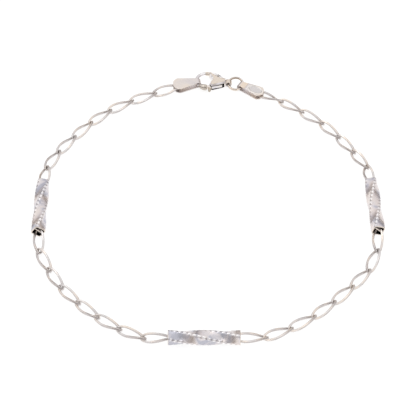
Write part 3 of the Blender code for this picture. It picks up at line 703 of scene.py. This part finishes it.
# rings of the body's upper half: share of the inset, the edge that the height is taken from, and how many
# softenings above it
bevelRings = (
    (0.00, "wallHalf", -1.0), (0.04, "wallHalf", 0.0), (0.12, "wallHalf", 0.6),
    (0.88, "halfThickness", -0.7), (0.97, "halfThickness", -0.15), (1.06, "halfThickness", 0.0),
)
claspGrid = {"perPoint": 8, "smoothing": 6, "hook": 60, "tube": 24, "eye": 48, "eyeCorner": 4, "bore": 40,
             "slotArc": 16, "rod": 24, "tailArc": 24, "grip": 48, "gripTube": 32, "thumb": 20}
leverSizes = {
    "pivot": (0.753, -0.244),
    "tailRadius": 0.46 * mm,
    "halfThickness": 0.27 * mm,
    "clearance": 0.13 * mm,
    "play": 0.10 * mm,
    "tipWire": 0.31 * mm,
    "gripWire": 0.55 * mm,
    "gripTipRound": 0.10 * mm,
    "gripEndRound": 0.25 * mm,
    "thumbFoot": (0.462, -0.711),
    "thumbReach": 1.06 * mm,
    "thumbLean": -97 * degree,
    "thumbFootWire": 0.35 * mm,
    "thumbTipWire": 0.21 * mm,
    "thumbRound": 0.20 * mm,
    "holeHalf": 1.0 * mm,
    "tailRootInner": (0.345, -0.530),
    "tailShoulder": (0.485, -0.475),
    "tailRootOuter": (0.330, -0.867),
}
hookTurns = {"root": 112 * degree, "seat": 25 * degree, "tip": -47 * degree, "gripFull": -85 * degree,
             "gripEnd": -100 * degree}

# plan of the body, as shares of the span along and of the half width across
bodyOutline = np.array((
    (0.352, 1.000), (0.372, 0.780), (0.420, 0.560), (0.462, 0.300), (0.479, 0.020), (0.466, -0.200),
    (0.430, -0.390), (0.445, -0.560), (0.505, -0.735), (0.680, -0.560), (0.852, -0.340), (0.930, -0.200),
    (0.960, 0.000), (0.945, 0.200), (0.891, 0.360), (0.733, 0.680), (0.594, 0.900), (0.475, 1.000),
    (0.400, 1.030),
))


def claspPoint(shares):
    # a place in the clasp's plan: x from the hook's far side to the eye, y towards the hook's root
    return np.array((shares[0] * claspSizes["span"], shares[1] * claspSizes["halfWidth"]))


pivot = claspPoint(leverSizes["pivot"])
pinPlace = np.array(frame["record"]["behaviour"]["joints"][0]["pos_m"], float)
ringInPlan = np.array((claspSizes["span"] + ringSizes["bend"], 0.0)) - pivot
ringInWorld = (ringMiddle - pinPlace)[:2]
claspTurn = math.atan2(ringInWorld[1], ringInWorld[0]) - math.atan2(ringInPlan[1], ringInPlan[0])
claspAxes = np.array(((math.cos(claspTurn), math.sin(claspTurn), 0),
                      (-math.sin(claspTurn), math.cos(claspTurn), 0), (0, 0, 1)))
claspOrigin = pinPlace - np.array((*pivot, 0)) @ claspAxes


def smoothClosed(points, samples):
    # a closed Catmull-Rom curve through the points
    before, after, beyond = (np.roll(points, shift, axis=0) for shift in (1, -1, -2))
    t = np.linspace(0, 1, samples, endpoint=False)[None, :, None]
    given, before, after, beyond = (rows[:, None] for rows in (points, before, after, beyond))
    curve = 0.5 * (2 * given + (after - before) * t + (2 * before - 5 * given + 4 * after - beyond) * t ** 2
                   + (3 * given - before - 3 * after + beyond) * t ** 3)
    return curve.reshape(-1, 2)


def cushionRows(outline, insets):
    # rings from the lower flat to the upper one: upright in the middle, then leaning in over a bevel by
    # each point's own inset towards the centre, with a short softer ring at every edge
    inwards = np.array(claspSizes["centre"]) * mm - outline
    reach = np.linalg.norm(inwards, axis=1)
    inwards = inwards / reach[:, None]
    insets = np.minimum(insets, reach * claspSizes["insetMost"])
    rows = []
    for share, edge, softenings in bevelRings:
        flat = outline + inwards * (insets * share)[:, None]
        height = claspSizes[edge] + claspSizes["soften"] * softenings
        rows.append(np.column_stack((flat, np.full(len(flat), height))))
    upper = np.array(rows)
    lower = upper[::-1] * np.array((1, 1, -1))
    return np.concatenate((lower, upper))


def prism(name, outline, half, shades=None):
    # the outline in the clasp's plan, carried as far as half up and down
    count = len(outline)
    places = np.concatenate((np.column_stack((outline, np.full(count, -half))),
                             np.column_stack((outline, np.full(count, half)))))
    rows = placed(places, claspOrigin, claspAxes).reshape(2, count, 3)
    return gridMesh(name, rows, shades=shades)


def arcPoints(centre, radius, start, end, steps):
    turns = np.linspace(start, end, steps + 1)
    return np.stack((centre[0] + radius * np.cos(turns), centre[1] + radius * np.sin(turns)), axis=1)


def hookPoints(start, end, steps):
    # the arc that hook and grip share, with the turn at each of its points
    turns = np.linspace(start, end, steps)
    x = claspSizes["bend"] * (1 - np.cos(turns))
    y = claspSizes["rise"] + claspSizes["bend"] * np.sin(turns)
    return np.stack((x, y, np.zeros_like(turns)), axis=1), turns


def tubeMesh(name, points, radii, sides):
    # a round tube of changing radius along a path in the clasp's own frame, with painted shade on the
    # inside of its bend
    section = roundSection(sides) * np.asarray(radii)[:, None, None]
    rows = ringSweep(points, sameUps((0, 0, 1), len(points)), section, closed=False)
    return gridMesh(name, placed(rows, claspOrigin, claspAxes),
                    shades={"insideShade": bendShade(sides, bendTint["clasp"])})


def rodMesh(name, start, end, up, radius, sides):
    # a straight round rod between two places in the clasp's own frame
    section = roundSection(sides) * radius
    rows = ringSweep(np.array((start, end)), sameUps(up, 2), section, closed=False)
    return gridMesh(name, placed(rows, claspOrigin, claspAxes))


def tangentTurn(centre, radius, point, side):
    # turn about the centre to where the line from the point touches the circle
    away = math.atan2(centre[1] - point[1], centre[0] - point[0])
    return away + side * (math.asin(radius / math.dist(centre, point)) + quarterTurn)


def makeClaspBody():
    # the cushion-shaped body with its hook and eye, cut by the bore and the lever's slot, and the pin
    size = claspSizes
    outline = smoothClosed(bodyOutline * (size["span"], size["halfWidth"]), claspGrid["perPoint"])[::-1]
    ahead = np.roll(outline, -1, axis=0) - np.roll(outline, 1, axis=0)
    normals = np.stack((ahead[:, 1], -ahead[:, 0]), axis=1) / np.linalg.norm(ahead, axis=1)[:, None]
    insets = (bevelInsets["all"] + bevelInsets["near"] * np.clip(-normals[:, 1], 0, 1) ** 2
              - bevelInsets["far"] * np.clip(normals[:, 1], 0, 1)) * mm
    for _ in range(claspGrid["smoothing"]):
        insets = (np.roll(insets, 1) + 2 * insets + np.roll(insets, -1)) / 4
    rows = cushionRows(outline, insets)
    # painted reflection, a warmer tone, on the rings of the upper and lower flats, and painted highlight on
    # the bevel rings
    topReflectionShare = np.zeros((len(rows), 1))
    topReflectionShare[[0, 1, -2, -1]] = 1
    bevelHighlightShare = np.zeros((len(rows), 1))
    bevelHighlightShare[[2, 3, -4, -3]] = 1
    base = gridMesh("clasp_body_cast", placed(rows, claspOrigin, claspAxes),
                    shades={"topReflection": topReflectionShare, "bevelHighlight": bevelHighlightShare, "insideShade": 0})
    markFaces(base, "hollowShade", 0)

    points, turns = hookPoints(hookTurns["root"], hookTurns["tip"], claspGrid["hook"])
    growth = np.clip((turns - hookTurns["seat"]) / (quarterTurn - hookTurns["seat"]), 0, 1)
    radii = size["seatWire"] + (size["rootWire"] - size["seatWire"]) * growth
    radii = roundEnds(pathLengths(points), radii, 0, size["tipRound"])
    hook = tubeMesh("hook", points, radii, claspGrid["tube"])

    eyeTurns = np.linspace(0, fullTurn, claspGrid["eye"], endpoint=False)
    eyeBend = size["eye"] + size["eyeWall"] / 2
    eyePath = np.stack((size["eyeAt"] + eyeBend * np.cos(eyeTurns), np.zeros_like(eyeTurns),
                        eyeBend * np.sin(eyeTurns)), axis=1)
    eyeSection = flatSection(size["eyeWall"] / 2, size["eyeHalfWidth"], size["eyeCorner"],
                             claspGrid["eyeCorner"])
    eyeRows = ringSweep(eyePath, sameUps((0, 1, 0), len(eyePath)), eyeSection, closed=True)
    eye = gridMesh("eye", placed(eyeRows, claspOrigin, claspAxes), closedAlong=True)
    bore = rodMesh("bore", (size["eyeAt"], -size["boreHalf"], 0), (size["eyeAt"], size["boreHalf"], 0),
                   (0, 0, 1), size["eye"], claspGrid["bore"])

    inner = claspPoint(leverSizes["tailRootInner"])
    shoulder = claspPoint(leverSizes["tailShoulder"])
    radius = leverSizes["tailRadius"] + leverSizes["clearance"]
    below = -2 * size["halfWidth"]
    right = pivot[0] + leverSizes["tailRadius"] + size["slotEnd"]
    last = tangentTurn(pivot, radius, shoulder, 1)
    slot = np.concatenate((
        ((inner[0], below), (right, below), (right, pivot[1] + radius)),
        arcPoints(pivot, radius, quarterTurn, last, claspGrid["slotArc"]),
        (shoulder + (0, leverSizes["clearance"]), inner + (0, leverSizes["clearance"])),
    ))
    slotMesh = prism("slot", slot, size["slotHalf"])
    pinHalf = (size["slotHalf"] + size["halfThickness"]) / 2
    pin = rodMesh("pin", (*pivot, -pinHalf), (*pivot, pinHalf), (0, 1, 0), size["pin"], claspGrid["rod"])
    # the faces that the bore and the slot leave take near-black painted shade
    mixed = mixedMesh("clasp_body_cast", base, [
        (hook, "UNION"), (markFaces(bore, "hollowShade", 1), "DIFFERENCE"), (eye, "UNION"),
        (markFaces(slotMesh, "hollowShade", 1), "DIFFERENCE"), (pin, "UNION")])
    mixed.shade_smooth()
    mixed.set_sharp_from_angle(angle=sharpAngles["clasp"])
    return newObject("clasp_body_cast", mixed, claspMetal)


def makeLever():
    # the tail round the pin, the grip that closes the hook and the thumb piece, with a hole for the pin
    lever = leverSizes
    outer = claspPoint(lever["tailRootOuter"])
    shoulder = claspPoint(lever["tailShoulder"])
    inner = claspPoint(lever["tailRootInner"])
    first = tangentTurn(pivot, lever["tailRadius"], outer, -1)
    last = tangentTurn(pivot, lever["tailRadius"], shoulder, 1)
    around = arcPoints(pivot, lever["tailRadius"], first, last, claspGrid["tailArc"])
    plan = np.concatenate(((outer,), around, (shoulder, inner)))
    tail = prism("tail", plan, lever["halfThickness"], {"insideShade": 0})

    start = hookTurns["tip"] - lever["play"] / claspSizes["bend"]
    points, turns = hookPoints(start, hookTurns["gripEnd"], claspGrid["grip"])
    growth = np.clip((turns - start) / (hookTurns["gripFull"] - start), 0, 1)
    radii = lever["tipWire"] + (lever["gripWire"] - lever["tipWire"]) * np.sin(growth * quarterTurn)
    radii = roundEnds(pathLengths(points), radii, lever["gripTipRound"], lever["gripEndRound"])
    grip = tubeMesh("grip", points, radii, claspGrid["gripTube"])

    foot = claspPoint(lever["thumbFoot"])
    lean = np.array((math.cos(lever["thumbLean"]), math.sin(lever["thumbLean"])))
    share = np.linspace(0, 1, claspGrid["thumb"])
    thumbPlan = foot + lean * (share * lever["thumbReach"])[:, None]
    thumbPath = np.column_stack((thumbPlan, np.zeros_like(share)))
    thumbRadii = lever["thumbFootWire"] + (lever["thumbTipWire"] - lever["thumbFootWire"]) * share
    thumbRadii = roundEnds(pathLengths(thumbPath), thumbRadii, 0, lever["thumbRound"])
    thumb = tubeMesh("thumb", thumbPath, thumbRadii, claspGrid["tube"])
    hole = rodMesh("hole", (*pivot, -lever["holeHalf"]), (*pivot, lever["holeHalf"]), (0, 1, 0),
                   claspSizes["pin"] + lever["play"], claspGrid["rod"])
    mixed = mixedMesh("clasp_lever_cast", tail, [(grip, "UNION"), (thumb, "UNION"), (hole, "DIFFERENCE")])
    mixed.shade_smooth()
    mixed.set_sharp_from_angle(angle=sharpAngles["clasp"])
    return newObject("clasp_lever_cast", mixed, claspMetal)


finishPiece(makeClaspBody(), "bracelet", "clasp_body")
finishPiece(makeLever(), "lever", "clasp_lever")
print("clasp done")


# Table, light and camera

tableLook = {"size": 3.0, "colour": (0.30, 0.30, 0.30), "roughness": 0.9, "glow": 0.82}
lampLooks = {
    "key": {"place": (-0.25, 0.10, 0.60), "size": 0.20, "power": 0.22, "colour": (1, 1, 1)},
    "front": {"place": (0.20, -0.45, 0.55), "size": 0.12, "power": 0.198, "colour": (1, 0.98, 0.96)},
}
skyLook = {
    # by the upward share of the direction, 0 is level
    "stops": ((0.00, (0.16, 0.13, 0.11)), (0.30, (0.48, 0.44, 0.42)), (0.48, (0.95, 0.93, 0.95)),
              (0.75, (1.00, 1.00, 1.00))),
    "dimFrom": 0.86,             # cosine of the angle from the camera's direction
    "dimFull": 0.985,
    "dimTo": 0.5,
    "strength": 1.0,
}
cameraView = {"height": 46.5 * degree, "aim": (-0.0000117, -0.001302, 0.0000117), "distance": 0.3225,
              "pixelsPerMetre": 5756, "picture": 416, "sensor": 36, "nearest": 0.01}
cameraTowards = (0, -math.cos(cameraView["height"]), math.sin(cameraView["height"]))


def makeFloor():
    # a wide pale sheet that glows, so that the picture's ground stays white
    half = tableLook["size"] / 2
    corners = [(-half, -half, 0), (half, -half, 0), (half, half, 0), (-half, half, 0)]
    mesh = bpy.data.meshes.new("table_top")
    mesh.from_pydata(corners, [], [(0, 1, 2, 3)])
    floor = newObject("table_top", mesh)
    material = bpy.data.materials.new("pale_table")
    material.use_nodes = True
    shader = material.node_tree.nodes["Principled BSDF"]
    shader.inputs["Base Color"].default_value = (*tableLook["colour"], 1)
    shader.inputs["Roughness"].default_value = tableLook["roughness"]
    shader.inputs["Specular IOR Level"].default_value = 0
    shader.inputs["Emission Color"].default_value = (1, 1, 1, 1)
    shader.inputs["Emission Strength"].default_value = tableLook["glow"]
    mesh.materials.append(material)


def addLamp(name, look):
    # a round soft lamp that looks at the middle of the bracelet
    data = bpy.data.lights.new(name, "AREA")
    data.shape = "DISK"
    data.size = look["size"]
    data.energy = look["power"]
    data.color = look["colour"]
    lamp = bpy.data.objects.new(name, data)
    bpy.context.scene.collection.objects.link(lamp)
    lamp.location = look["place"]
    lamp.rotation_euler = (-Vector(look["place"])).to_track_quat("-Z", "Y").to_euler()


def makeWorld():
    # bright overhead, darker and warmer towards the horizon, and dim round where the picture is taken from
    world = bpy.data.worlds.new("studio")
    bpy.context.scene.world = world
    world.use_nodes = True
    tree = world.node_tree
    tree.nodes.clear()
    place = addNode(tree, "ShaderNodeTexCoord", (-900, 0))
    split = addNode(tree, "ShaderNodeSeparateXYZ", (-700, 0))
    ramp = addNode(tree, "ShaderNodeValToRGB", (-450, 0))
    back = addNode(tree, "ShaderNodeBackground", (-150, 0))
    out = addNode(tree, "ShaderNodeOutputWorld", (50, 0))
    tree.links.new(place.outputs["Generated"], split.inputs["Vector"])
    tree.links.new(split.outputs["Z"], ramp.inputs["Fac"])
    facing = addNode(tree, "ShaderNodeVectorMath", (-700, -250), operation="DOT_PRODUCT")
    facing.inputs[1].default_value = cameraTowards
    shade = addNode(tree, "ShaderNodeMapRange", (-450, -250), interpolation_type="SMOOTHSTEP")
    shade.inputs["From Min"].default_value = skyLook["dimFrom"]
    shade.inputs["From Max"].default_value = skyLook["dimFull"]
    shade.inputs["To Min"].default_value = 1
    shade.inputs["To Max"].default_value = skyLook["dimTo"]
    dim = addNode(tree, "ShaderNodeVectorMath", (-300, -100), operation="SCALE")
    tree.links.new(place.outputs["Generated"], facing.inputs[0])
    tree.links.new(facing.outputs["Value"], shade.inputs["Value"])
    tree.links.new(ramp.outputs["Color"], dim.inputs[0])
    tree.links.new(shade.outputs["Result"], dim.inputs["Scale"])
    tree.links.new(dim.outputs["Vector"], back.inputs["Color"])
    tree.links.new(back.outputs["Background"], out.inputs["Surface"])
    lowest, *between, highest = skyLook["stops"]
    stops = ramp.color_ramp.elements
    for stop, (level, colour) in zip(stops, (lowest, highest)):
        stop.position = level
        stop.color = (*colour, 1)
    for level, colour in between:
        stops.new(level).color = (*colour, 1)
    back.inputs["Strength"].default_value = skyLook["strength"]


def makeCamera():
    # the lens follows from the picture's scale at the aim
    view = cameraView
    data = bpy.data.cameras.new("camera")
    data.sensor_width = view["sensor"]
    data.lens = view["sensor"] * view["pixelsPerMetre"] * view["distance"] / view["picture"]
    data.clip_start = view["nearest"]
    camera = bpy.data.objects.new("camera", data)
    bpy.context.scene.collection.objects.link(camera)
    aim = Vector(view["aim"])
    away = Vector(cameraTowards)
    camera.location = aim + away * view["distance"]
    camera.rotation_euler = (-away).to_track_quat("-Z", "Y").to_euler()
    bpy.context.scene.camera = camera


makeFloor()
makeWorld()
for name, look in lampLooks.items():
    addLamp(name, look)
makeCamera()
bpy.context.scene.view_settings.view_transform = "Standard"
print("stage done")
